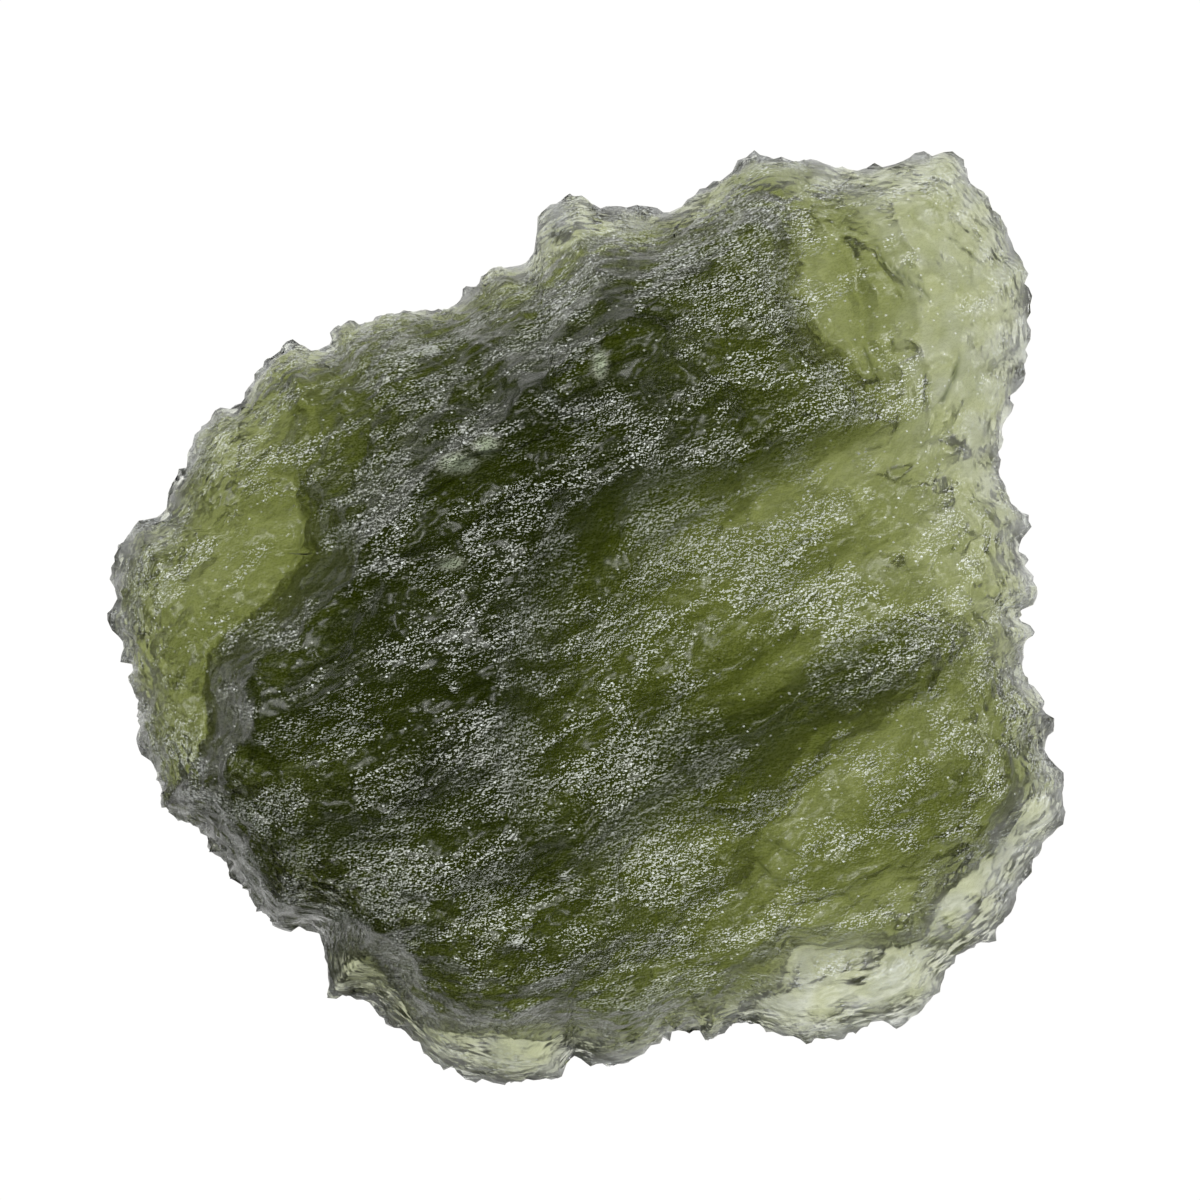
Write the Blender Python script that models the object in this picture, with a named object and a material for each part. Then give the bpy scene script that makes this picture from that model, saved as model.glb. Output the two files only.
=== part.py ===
"""A natural moldavite: one piece of green tektite glass, lying on its flatter side.

The stone is one lens-shaped body. Its upper side carries a thick diagonal core, a broad flute that
crosses the middle, a bay on the left, a scoop and a thin wing on the right, and a lobe below the flute.
Its underside is a shallow bowl that ends in the small flat spot the stone rests on.
"""
import math

import bmesh
import bpy
import numpy
from mathutils import Vector, noise

MM = 0.001
NAME = "stone"

# Outline of the stone from above, in millimetres about its middle.
OUTLINE = [
    (-13.5, 0.6), (-13.1, 2.5), (-12.6, 2.9), (-12.0, 3.0), (-11.2, 5.1), (-10.6, 5.9), (-9.9, 6.2),
    (-9.4, 7.1), (-8.4, 7.9), (-7.4, 7.8), (-7.1, 8.4), (-5.7, 8.8), (-4.2, 8.9), (-3.1, 9.7),
    (-2.5, 10.2), (-1.7, 10.3), (-1.3, 11.5), (-0.3, 12.1), (0.4, 11.9), (2.1, 11.7), (3.4, 12.3),
    (5.0, 13.3), (6.5, 13.1), (7.8, 12.9), (10.0, 13.3), (10.6, 13.1), (11.9, 11.3), (12.3, 10.4),
    (12.6, 10.3), (12.6, 8.3), (12.3, 6.6), (11.8, 4.7), (12.1, 3.5), (12.5, 2.9), (12.4, 2.1),
    (12.9, 0.6), (12.3, 0.2), (12.8, -0.4), (12.5, -1.5), (13.2, -2.3), (13.1, -3.4), (13.6, -4.6),
    (13.5, -5.8), (12.9, -6.4), (12.2, -7.8), (12.1, -8.4), (11.2, -9.3), (10.2, -10.1),
    (10.1, -10.7), (9.2, -11.3), (7.5, -11.8), (6.0, -12.0), (4.7, -11.4), (3.5, -11.9),
    (3.0, -11.6), (1.0, -12.6), (-0.4, -12.3), (-0.6, -13.0), (-1.9, -13.3), (-3.0, -13.1),
    (-4.1, -12.8), (-5.1, -11.8), (-6.2, -10.8), (-7.4, -10.8), (-7.6, -9.0), (-8.6, -8.8),
    (-9.2, -8.4), (-10.8, -6.1), (-11.6, -5.7), (-12.1, -5.1), (-12.6, -3.6), (-13.2, -1.1),
]
TOOTH_DEPTH = 0.22
TOOTH_PERIOD = 1.1

# Thick core: a long mound under the whole upper side.
CORE_MIDDLE = (-3.0, 0.9)
CORE_HEADING = math.radians(50.0)
CORE_HALF_LENGTH = 12.0
CORE_HALF_WIDTH = 7.6
CORE_THICKNESS = 7.4
CORE_FLATNESS = 1.8
SKIRT_THICKNESS = 1.9

# Lower mounds: x, y, reach and height above the skirt.
MOUNDS = [
    (8.4, -4.2, 4.6, 2.7), (0.6, -8.6, 4.0, 3.4), (-5.0, -7.4, 3.2, 1.2), (9.0, 10.2, 2.8, 0.5),
    (-9.2, 5.6, 2.4, 0.7), (2.5, 9.8, 2.6, 2.2), (-1.2, 8.8, 2.8, 1.9),
]

# Flutes: x, y, glass left under the floor, and half width on the left and right of the floor line.
FLUTES = [
    [(13.2, 6.4, 1.6, 2.6, 2.4), (10.7, 5.7, 1.9, 2.7, 2.0), (7.8, 4.4, 2.3, 2.4, 1.3),
     (5.2, 2.6, 3.2, 2.1, 1.8), (3.0, 0.6, 4.2, 2.0, 2.7), (1.0, -1.7, 5.4, 1.9, 2.7),
     (-0.5, -4.6, 6.8, 1.8, 2.0)],
    [(10.9, 1.3, 3.0, 1.4, 1.4), (8.4, 0.1, 3.2, 1.3, 1.6), (6.4, -1.0, 3.7, 1.2, 1.6),
     (4.4, -2.3, 4.4, 1.1, 1.5), (2.4, -3.3, 5.6, 1.0, 1.3)],
    [(12.1, 3.1, 2.2, 1.6, 1.6), (8.9, 2.1, 2.7, 1.5, 1.5), (6.1, 0.6, 3.6, 1.4, 1.4),
     (3.2, -1.1, 5.2, 1.2, 1.2)],
    [(6.4, 11.6, 2.7, 1.4, 1.6), (6.9, 9.4, 2.5, 1.5, 1.8), (7.6, 7.1, 2.7, 1.3, 1.5)],
    [(-0.4, 6.6, 8.2, 1.0, 1.0), (1.5, 7.7, 7.6, 1.1, 1.1), (3.4, 8.5, 7.8, 1.0, 1.0)],
    [(-8.6, -0.6, 7.2, 1.7, 1.7), (-4.7, 2.9, 8.4, 1.6, 1.6), (-1.9, 4.3, 8.6, 1.5, 1.5),
     (1.0, 4.8, 8.4, 1.4, 1.4)],
    [(-9.8, 4.6, 3.2, 2.0, 2.4), (-7.0, 6.2, 4.8, 2.2, 2.6), (-4.4, 7.4, 6.6, 2.0, 2.3)],
    [(10.2, -2.6, 3.2, 1.9, 1.9), (8.0, -3.8, 3.1, 2.0, 2.0), (6.3, -5.4, 3.2, 1.9, 1.9),
     (5.4, -7.4, 3.2, 1.7, 1.7)],
    [(3.6, -6.4, 4.2, 1.9, 1.9), (1.0, -8.0, 5.6, 2.0, 2.0), (-1.6, -8.8, 6.6, 1.9, 1.9),
     (-5.0, -8.4, 7.0, 1.7, 1.7)],
    [(-9.8, -4.2, 6.5, 1.8, 1.8), (-6.5, -3.6, 8.0, 1.9, 1.9), (-3.6, -2.4, 8.8, 1.7, 1.7)],
    [(-8.0, -7.4, 5.6, 1.6, 1.6), (-5.0, -6.6, 7.4, 1.8, 1.8), (-2.2, -5.0, 8.4, 1.6, 1.6)],
]
FLUTE_WALL_RISE = 2.0

# Shelves: thin places behind a wall, as the glass left there, the wall's slope and the outline.
SHELVES = [
    (3.4, 3.2, [(-8.1, 4.0), (-8.0, 3.1), (-7.9, 1.9), (-8.9, 0.7), (-9.7, 0.0), (-10.6, -1.0),
                (-10.7, -2.0), (-10.5, -3.0), (-11.1, -4.4), (-13.0, -5.1), (-14.4, -2.3),
                (-14.1, 1.7), (-12.2, 3.4), (-10.5, 3.8)]),
    (1.6, 0.8, [(8.5, 13.4), (8.7, 11.4), (9.7, 9.4), (9.5, 7.8), (10.2, 6.2), (11.5, 4.4),
                (13.5, 3.8), (13.5, 13.7)]),
    (1.1, 3.0, [(8.8, -9.5), (9.5, -9.1), (9.9, -8.0), (10.2, -7.6), (11.1, -7.1), (11.8, -6.5),
                (12.8, -4.8), (14.6, -4.8), (14.6, -12.5), (5.0, -13.1), (4.4, -11.1), (5.5, -10.4),
                (6.1, -9.5), (7.5, -9.4)]),
    (1.2, 5.0, [(-9.9, -8.6), (-8.5, -8.9), (-7.0, -9.5), (-5.6, -10.2), (-4.7, -11.3), (-3.3, -11.7),
                (-1.3, -11.8), (0.4, -12.1), (0.4, -14.2), (-5.9, -14.2), (-10.4, -10.8)]),
    (1.6, 2.2, [(-1.9, 10.1), (-0.2, 11.0), (1.8, 11.5), (3.2, 12.0), (3.2, 13.7), (-3.0, 13.7),
                (-3.0, 10.3)]),
]

# Crests: x, y and height at each point. The steep side is on the left of the line's direction.
CRESTS = [
    [(1.5, -5.3, 0.0), (2.3, -3.6, 1.5), (3.4, -3.3, 2.0), (5.0, -2.6, 2.0), (6.1, -2.0, 1.9),
     (7.5, -1.3, 1.7), (8.9, -0.7, 1.4), (11.5, 0.0, 0.0)],
    [(5.8, -8.4, 0.0), (4.5, -9.7, 0.8), (3.2, -10.6, 1.3), (1.5, -11.0, 1.5), (-0.5, -10.9, 1.2),
     (-2.4, -10.9, 0.9), (-4.4, -10.4, 0.0)],
    [(4.4, 12.4, 0.0), (5.2, 11.5, 1.0), (5.4, 9.4, 1.3), (6.2, 7.7, 1.4), (7.4, 6.5, 1.1),
     (7.0, 5.8, 1.2), (5.5, 4.7, 1.2), (3.8, 4.3, 1.0), (1.5, 4.0, 0.7), (-0.7, 3.6, 0.0)],
    [(-4.2, 8.6, 0.0), (-2.5, 9.6, 0.6), (-0.7, 10.4, 0.9), (1.8, 11.4, 0.8), (4.2, 12.2, 0.0)],
    [(-7.0, 2.8, 0.0), (-5.3, 4.0, 0.5), (-3.3, 4.7, 0.6), (-0.7, 5.1, 0.5), (0.4, 5.7, 0.0)],
    [(-3.3, 1.7, 0.0), (-4.4, 1.8, 0.5), (-6.4, 1.1, 0.6), (-8.4, 0.3, 0.0)],
    [(-4.2, -0.6, 0.0), (-1.9, -0.6, 0.4), (0.4, 0.6, 0.5), (2.1, 2.3, 0.5), (3.8, 3.4, 0.0)],
    [(-7.6, -6.6, 0.0), (-5.4, -5.2, 0.5), (-3.2, -3.2, 0.6), (-1.8, -1.9, 0.0)],
]
CREST_STEEP_RUN = 0.8
CREST_GENTLE_RUN = 3.0

# Etched ripples that run with the flow of the glass.
FLOW_HEADING = math.radians(28.0)
SWELL = (4.5, 0.55)
SWELL_STRETCH = 1.6
RIPPLE = (1.5, 0.45)
RIPPLE_STRETCH = 2.4
SCALLOP = (2.3, 0.60)
SCALLOP_STRETCH = 1.8
WANDER = (2.2, 0.30)
FULL_PITTING_DEPTH = 4.0
LEAST_PITTING = 0.3
LINE_STEPS = 4

# Underside: a bowl that is cut off flat where the stone rests.
REST_MIDDLE = (-0.2, 0.1)
BOWL_RADIUS = 13.0
BOWL_RISE = 3.2
BOWL_FLATTENING = 0.3
BOWL_SINK = 0.22
FLAT_SPOT_DEPTH = 0.001 * MM
UNDERSIDE_SWELL = (5.0, 0.45)
UNDERSIDE_STRETCH = 1.5
CALM_SHARE = 0.2
CALM_FADE = 0.5

RIM_THICKNESS = 0.5
RIM_ROUNDING = 0.35
RIM_TAPER = 0.85
RIM_LIFT = 0.4
RIM_LIFT_REACH = 1.6
RIM_WAVE = (0.9, 0.35)

# Where the rim is blunt and stands higher: x, y, reach, and how much steeper and higher it is there.
BLUNT_RIM = (-7.5, -7.5, 6.0)
BLUNT_STEEPER = 0.55
BLUNT_LIFT = 2.2
BLEND = 0.3

CUTS_AN_EDGE = 88
TRIANGLES = 8600

GLASS_COLOUR = (0.20, 0.27, 0.07, 1.0)
GLASS_ROUGHNESS = 0.25


def smooth_line(points, steps, closed=False):
    """A soft curve through the points, as an array with the same columns."""
    points = numpy.array(points, dtype=float)
    count = len(points)
    if closed:
        before = points[numpy.arange(-1, count - 1)]
        after = points[(numpy.arange(count) + 1) % count]
        beyond = points[(numpy.arange(count) + 2) % count]
        start = points
    else:
        start = points[:-1]
        after = points[1:]
        before = numpy.vstack([points[:1], points[:-2]])
        beyond = numpy.vstack([points[2:], points[-1:]])
    t = numpy.arange(steps)[:, None, None] / steps
    curve = 0.5 * (2.0 * start + (after - before) * t
                   + (2.0 * before - 5.0 * start + 4.0 * after - beyond) * t ** 2
                   + (3.0 * start - before - 3.0 * after + beyond) * t ** 3)
    curve = curve.transpose(1, 0, 2).reshape(-1, points.shape[1])
    if closed:
        return curve
    return numpy.vstack([curve, points[-1:]])


def nearest(x, y, line, closed=False):
    """Distance to a line, which side of it a place is on and the line's own values there."""
    ends = numpy.roll(line, -1, axis=0) if closed else line[1:]
    starts = line if closed else line[:-1]
    best = numpy.full(x.shape, 1e9)
    side = numpy.ones(x.shape)
    values = numpy.zeros((len(x), line.shape[1]))
    for start, end in zip(starts, ends):
        along = end[:2] - start[:2]
        length = max(float(along @ along), 1e-9)
        t = numpy.clip(((x - start[0]) * along[0] + (y - start[1]) * along[1]) / length, 0.0, 1.0)
        off_x = x - start[0] - t * along[0]
        off_y = y - start[1] - t * along[1]
        distance = numpy.hypot(off_x, off_y)
        closer = distance < best
        best = numpy.where(closer, distance, best)
        side = numpy.where(closer, numpy.sign(along[0] * off_y - along[1] * off_x), side)
        here = start + t[:, None] * (end - start)
        values = numpy.where(closer[:, None], here, values)
    return best, side, values


def inside(x, y, line):
    """True where a place is inside a closed line."""
    within = numpy.zeros(x.shape, dtype=bool)
    for start, end in zip(line, numpy.roll(line, -1, axis=0)):
        crosses = (start[1] > y) != (end[1] > y)
        rise = end[1] - start[1]
        if abs(rise) > 1e-12:
            within ^= crosses & (x < start[0] + (y - start[1]) * (end[0] - start[0]) / rise)
    return within


def grain(x, y, period, seed, stretch=1.0):
    """Smooth noise, longer along the flow of the glass by the stretch."""
    along = (x * math.cos(FLOW_HEADING) + y * math.sin(FLOW_HEADING)) / (period * stretch)
    across = (y * math.cos(FLOW_HEADING) - x * math.sin(FLOW_HEADING)) / period
    return numpy.array([noise.noise(Vector((a, b, seed))) for a, b in zip(along, across)])


def scallops(x, y, period, seed):
    """Shallow round hollows that meet in crisp edges, zero in the floor of each."""
    along = (x * math.cos(FLOW_HEADING) + y * math.sin(FLOW_HEADING)) / (period * SCALLOP_STRETCH)
    across = (y * math.cos(FLOW_HEADING) - x * math.sin(FLOW_HEADING)) / period
    nearest_cell = [noise.voronoi(Vector((a, b, seed)))[0][0] for a, b in zip(along, across)]
    return numpy.minimum(numpy.array(nearest_cell), 1.0) ** 2


def lower_of(first, second, blend=BLEND):
    """The lower of two heights with a narrow rounded crest where they meet."""
    share = numpy.clip(0.5 + 0.5 * (second - first) / blend, 0.0, 1.0)
    return second * (1.0 - share) + first * share - blend * share * (1.0 - share)


def glass_depth(x, y):
    """Thickness of the stone above its underside."""
    east = x - CORE_MIDDLE[0]
    north = y - CORE_MIDDLE[1]
    u = (east * math.cos(CORE_HEADING) + north * math.sin(CORE_HEADING)) / CORE_HALF_LENGTH
    v = (north * math.cos(CORE_HEADING) - east * math.sin(CORE_HEADING)) / CORE_HALF_WIDTH
    depth = SKIRT_THICKNESS + CORE_THICKNESS * numpy.exp(-(u * u + v * v) ** CORE_FLATNESS)
    for mound_x, mound_y, reach, height in MOUNDS:
        depth += height * numpy.exp(-((x - mound_x) ** 2 + (y - mound_y) ** 2) / reach ** 2)
    depth += SWELL[1] * grain(x, y, SWELL[0], seed=3.1, stretch=SWELL_STRETCH)
    wander_x = x + WANDER[1] * grain(x, y, WANDER[0], seed=11.3)
    wander_y = y + WANDER[1] * grain(x, y, WANDER[0], seed=17.9)
    for points in FLUTES:
        distance, side, values = nearest(wander_x, wander_y, smooth_line(points, LINE_STEPS))
        half_width = numpy.where(side > 0.0, values[:, 3], values[:, 4])
        wall = FLUTE_WALL_RISE * (distance / half_width) ** 2
        depth = lower_of(depth, values[:, 2] + wall)
    for floor, slope, points in SHELVES:
        line = numpy.array(points)
        distance, _, _ = nearest(wander_x, wander_y, line, closed=True)
        outward = numpy.where(inside(wander_x, wander_y, line), -distance, distance)
        depth = lower_of(depth, floor + slope * numpy.maximum(outward, 0.0))
    for points in CRESTS:
        distance, side, values = nearest(wander_x, wander_y, smooth_line(points, LINE_STEPS))
        run = numpy.where(side > 0.0, CREST_STEEP_RUN, CREST_GENTLE_RUN)
        depth += values[:, 2] * numpy.clip(1.0 - distance / run, 0.0, 1.0) ** 1.5
    ripple = 0.5 - 2.0 * numpy.abs(grain(x, y, RIPPLE[0], seed=23.7, stretch=RIPPLE_STRETCH))
    pitting = RIPPLE[1] * ripple + SCALLOP[1] * scallops(wander_x, wander_y, SCALLOP[0], seed=0.5)
    return depth + pitting * numpy.clip(depth / FULL_PITTING_DEPTH, LEAST_PITTING, 1.0)


def underside(x, y, lift):
    """Height of the stone's underside, zero over the flat spot."""
    share = numpy.hypot(x - REST_MIDDLE[0], y - REST_MIDDLE[1]) / BOWL_RADIUS
    bowl = BOWL_RISE * share ** 2 / (1.0 + BOWL_FLATTENING * share ** 2) - BOWL_SINK
    wave = UNDERSIDE_SWELL[1] * grain(x, y, UNDERSIDE_SWELL[0], seed=41.2, stretch=UNDERSIDE_STRETCH)
    wave -= SCALLOP[1] * scallops(x, y, SCALLOP[0] * UNDERSIDE_STRETCH, seed=7.5)
    return numpy.maximum(bowl + lift + wave * numpy.clip((share - CALM_SHARE) / CALM_FADE, 0.0, 1.0), 0.0)


def rim_reach(heading, rim):
    """Distance from the middle of the stone to its rim in each direction."""
    rim_heading = numpy.arctan2(rim[:, 1], rim[:, 0])
    order = numpy.argsort(rim_heading)
    reach = numpy.interp(heading, rim_heading[order], numpy.hypot(rim[:, 0], rim[:, 1])[order],
                         period=2.0 * math.pi)
    east = reach * numpy.cos(heading)
    north = reach * numpy.sin(heading)
    teeth = grain(east, north, TOOTH_PERIOD, seed=5.5)
    teeth += 0.5 * grain(east, north, 0.5 * TOOTH_PERIOD, seed=9.1)
    teeth += 0.35 * grain(east, north, 0.25 * TOOTH_PERIOD, seed=13.1)
    return reach + TOOTH_DEPTH * teeth


def shape_stone(unit):
    """Turn places on a ball of radius one into places on the stone, in millimetres."""
    heading = numpy.arctan2(unit[:, 1], unit[:, 0])
    rim = smooth_line(OUTLINE, LINE_STEPS, closed=True)
    reach = rim_reach(heading, rim)
    share = numpy.sqrt(numpy.clip(1.0 - numpy.abs(unit[:, 2]), 0.0, 1.0))
    x = share * reach * numpy.cos(heading)
    y = share * reach * numpy.sin(heading)
    from_rim, _, _ = nearest(x, y, rim, closed=True)
    blunt = numpy.exp(-((x - BLUNT_RIM[0]) ** 2 + (y - BLUNT_RIM[1]) ** 2) / BLUNT_RIM[2] ** 2)
    taper = RIM_TAPER * (1.0 - BLUNT_STEEPER * blunt)
    depth = RIM_THICKNESS + glass_depth(x, y) * (1.0 - numpy.exp(-from_rim / taper))
    lift = (RIM_LIFT + BLUNT_LIFT * blunt) * numpy.exp(-from_rim / RIM_LIFT_REACH)
    lift += RIM_WAVE[1] * grain(x, y, RIM_WAVE[0], seed=83.1) * numpy.exp(-from_rim / taper)
    bottom = underside(x, y, lift)
    near_rim = numpy.clip((1.0 - share) * reach / RIM_ROUNDING, 0.0, 1.0)
    rounding = numpy.sqrt(1.0 - (1.0 - near_rim) ** 2)
    middle = bottom + 0.5 * RIM_THICKNESS
    top = middle + (bottom + depth - middle) * rounding
    low = middle + (bottom - middle) * rounding
    return numpy.stack([x, y, numpy.where(unit[:, 2] >= 0.0, top, low)], axis=1)


def make_body():
    """A cube cut into a fine net of squares, blown up to a ball and then shaped."""
    body = bmesh.new()
    bmesh.ops.create_cube(body, size=2.0)
    bmesh.ops.subdivide_edges(body, edges=body.edges[:], cuts=CUTS_AN_EDGE - 1, use_grid_fill=True)
    cube = numpy.array([vertex.co[:] for vertex in body.verts])
    even = numpy.tan(cube * math.pi / 4.0)
    unit = even / numpy.linalg.norm(even, axis=1)[:, None]
    unit[numpy.abs(unit[:, 2]) < 1e-6, 2] = 0.0
    for vertex, place in zip(body.verts, shape_stone(unit)):
        vertex.co = place * MM
    bmesh.ops.recalc_face_normals(body, faces=body.faces[:])
    bmesh.ops.triangulate(body, faces=body.faces[:])
    mesh = bpy.data.meshes.new(NAME)
    body.to_mesh(mesh)
    body.free()
    return mesh


def glass_material():
    material = bpy.data.materials.new("glass")
    material.use_nodes = True
    shader = material.node_tree.nodes["Principled BSDF"]
    shader.inputs["Base Color"].default_value = GLASS_COLOUR
    shader.inputs["Roughness"].default_value = GLASS_ROUGHNESS
    shader.inputs["Metallic"].default_value = 0.0
    return material


def build():
    for old in list(bpy.data.objects):
        bpy.data.objects.remove(old, do_unlink=True)
    mesh = make_body()
    stone = bpy.data.objects.new(NAME, mesh)
    home = bpy.data.collections.new(NAME)
    bpy.context.scene.collection.children.link(home)
    home.objects.link(stone)
    thin_out = stone.modifiers.new("thin out", "DECIMATE")
    thin_out.ratio = TRIANGLES / len(mesh.polygons)
    thinned = bpy.data.meshes.new_from_object(stone.evaluated_get(bpy.context.evaluated_depsgraph_get()))
    stone.modifiers.remove(thin_out)
    stone.data = thinned
    bpy.data.meshes.remove(mesh)
    for vertex in thinned.vertices:
        if vertex.co.z < FLAT_SPOT_DEPTH:
            vertex.co.z = 0.0
    thinned.name = NAME
    thinned.materials.append(glass_material())


build()
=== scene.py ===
"""Render scene of a natural moldavite: one piece of green see-through glass on a plain white floor.

The stone is built from the same forms as its solid, on a much finer net, and then etched with the
pits, striations and chips of the natural surface. The camera looks straight down on it. Lengths are
in millimetres until the mesh is written in metres.
"""
import math

import bmesh
import bpy
import numpy
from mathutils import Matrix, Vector, noise


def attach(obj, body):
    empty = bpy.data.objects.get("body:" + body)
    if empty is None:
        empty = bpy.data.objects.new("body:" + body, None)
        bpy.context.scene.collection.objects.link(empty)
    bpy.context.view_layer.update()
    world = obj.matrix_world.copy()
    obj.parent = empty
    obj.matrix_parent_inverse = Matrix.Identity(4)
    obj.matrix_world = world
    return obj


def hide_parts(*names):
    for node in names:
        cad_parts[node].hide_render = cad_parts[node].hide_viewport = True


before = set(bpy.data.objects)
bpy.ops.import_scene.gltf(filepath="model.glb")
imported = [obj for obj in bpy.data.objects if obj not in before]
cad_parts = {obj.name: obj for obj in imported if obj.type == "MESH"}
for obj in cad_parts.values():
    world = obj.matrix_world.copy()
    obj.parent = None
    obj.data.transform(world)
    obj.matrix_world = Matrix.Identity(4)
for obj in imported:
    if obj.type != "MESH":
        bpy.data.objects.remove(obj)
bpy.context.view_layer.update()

MM = 0.001
NAME = "stone_surface"

# Outline of the stone from above, in millimetres about its middle.
OUTLINE = [
    (-13.5, 0.6), (-13.1, 2.5), (-12.6, 2.9), (-12.0, 3.0), (-11.2, 5.1), (-10.6, 5.9), (-9.9, 6.2),
    (-9.4, 7.1), (-8.4, 7.9), (-7.4, 7.8), (-7.1, 8.4), (-5.7, 8.8), (-4.2, 8.9), (-3.1, 9.7),
    (-2.5, 10.2), (-1.7, 10.3), (-1.3, 11.5), (-0.3, 12.1), (0.4, 11.9), (2.1, 11.7), (3.4, 12.3),
    (5.0, 13.3), (6.5, 13.1), (7.8, 12.9), (10.0, 13.3), (10.6, 13.1), (11.9, 11.3), (12.3, 10.4),
    (12.6, 10.3), (12.6, 8.3), (12.3, 6.6), (11.8, 4.7), (12.1, 3.5), (12.5, 2.9), (12.4, 2.1),
    (12.9, 0.6), (12.3, 0.2), (12.8, -0.4), (12.5, -1.5), (13.2, -2.3), (13.1, -3.4), (13.6, -4.6),
    (13.5, -5.8), (12.9, -6.4), (12.2, -7.8), (12.1, -8.4), (11.2, -9.3), (10.2, -10.1),
    (10.1, -10.7), (9.2, -11.3), (7.5, -11.8), (6.0, -12.0), (4.7, -11.4), (3.5, -11.9),
    (3.0, -11.6), (1.0, -12.6), (-0.4, -12.3), (-0.6, -13.0), (-1.9, -13.3), (-3.0, -13.1),
    (-4.1, -12.8), (-5.1, -11.8), (-6.2, -10.8), (-7.4, -10.8), (-7.6, -9.0), (-8.6, -8.8),
    (-9.2, -8.4), (-10.8, -6.1), (-11.6, -5.7), (-12.1, -5.1), (-12.6, -3.6), (-13.2, -1.1),
]
TOOTH_DEPTH = 0.22
TOOTH_PERIOD = 1.1

# Thick core: a long mound under the whole upper side.
CORE_MIDDLE = (-3.0, 0.9)
CORE_HEADING = math.radians(50.0)
CORE_HALF_LENGTH = 12.0
CORE_HALF_WIDTH = 7.6
CORE_THICKNESS = 7.4
CORE_FLATNESS = 1.8
SKIRT_THICKNESS = 1.9

# Lower mounds: x, y, reach and height above the skirt.
MOUNDS = [
    (8.4, -4.2, 4.6, 2.7), (0.6, -8.6, 4.0, 3.4), (-5.0, -7.4, 3.2, 1.2), (9.0, 10.2, 2.8, 0.5),
    (-9.2, 5.6, 2.4, 0.7), (2.5, 9.8, 2.6, 2.2), (-1.2, 8.8, 2.8, 1.9),
]

# Flutes: x, y, glass left under the floor, and half width on the left and right of the floor line.
FLUTES = [
    [(13.2, 6.4, 1.6, 2.6, 2.4), (10.7, 5.7, 1.9, 2.7, 2.0), (7.8, 4.4, 2.3, 2.4, 1.3),
     (5.2, 2.6, 3.2, 2.1, 1.8), (3.0, 0.6, 4.2, 2.0, 2.7), (1.0, -1.7, 5.4, 1.9, 2.7),
     (-0.5, -4.6, 6.8, 1.8, 2.0)],
    [(10.9, 1.3, 3.0, 1.4, 1.4), (8.4, 0.1, 3.2, 1.3, 1.6), (6.4, -1.0, 3.7, 1.2, 1.6),
     (4.4, -2.3, 4.4, 1.1, 1.5), (2.4, -3.3, 5.6, 1.0, 1.3)],
    [(12.1, 3.1, 2.2, 1.6, 1.6), (8.9, 2.1, 2.7, 1.5, 1.5), (6.1, 0.6, 3.6, 1.4, 1.4),
     (3.2, -1.1, 5.2, 1.2, 1.2)],
    [(6.4, 11.6, 2.7, 1.4, 1.6), (6.9, 9.4, 2.5, 1.5, 1.8), (7.6, 7.1, 2.7, 1.3, 1.5)],
    [(-0.4, 6.6, 8.2, 1.0, 1.0), (1.5, 7.7, 7.6, 1.1, 1.1), (3.4, 8.5, 7.8, 1.0, 1.0)],
    [(-8.6, -0.6, 7.2, 1.7, 1.7), (-4.7, 2.9, 8.4, 1.6, 1.6), (-1.9, 4.3, 8.6, 1.5, 1.5),
     (1.0, 4.8, 8.4, 1.4, 1.4)],
    [(-9.8, 4.6, 3.2, 2.0, 2.4), (-7.0, 6.2, 4.8, 2.2, 2.6), (-4.4, 7.4, 6.6, 2.0, 2.3)],
    [(10.2, -2.6, 3.2, 1.9, 1.9), (8.0, -3.8, 3.1, 2.0, 2.0), (6.3, -5.4, 3.2, 1.9, 1.9),
     (5.4, -7.4, 3.2, 1.7, 1.7)],
    [(3.6, -6.4, 4.2, 1.9, 1.9), (1.0, -8.0, 5.6, 2.0, 2.0), (-1.6, -8.8, 6.6, 1.9, 1.9),
     (-5.0, -8.4, 7.0, 1.7, 1.7)],
    [(-9.8, -4.2, 6.5, 1.8, 1.8), (-6.5, -3.6, 8.0, 1.9, 1.9), (-3.6, -2.4, 8.8, 1.7, 1.7)],
    [(-8.0, -7.4, 5.6, 1.6, 1.6), (-5.0, -6.6, 7.4, 1.8, 1.8), (-2.2, -5.0, 8.4, 1.6, 1.6)],
]
FLUTE_WALL_RISE = 2.0

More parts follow.
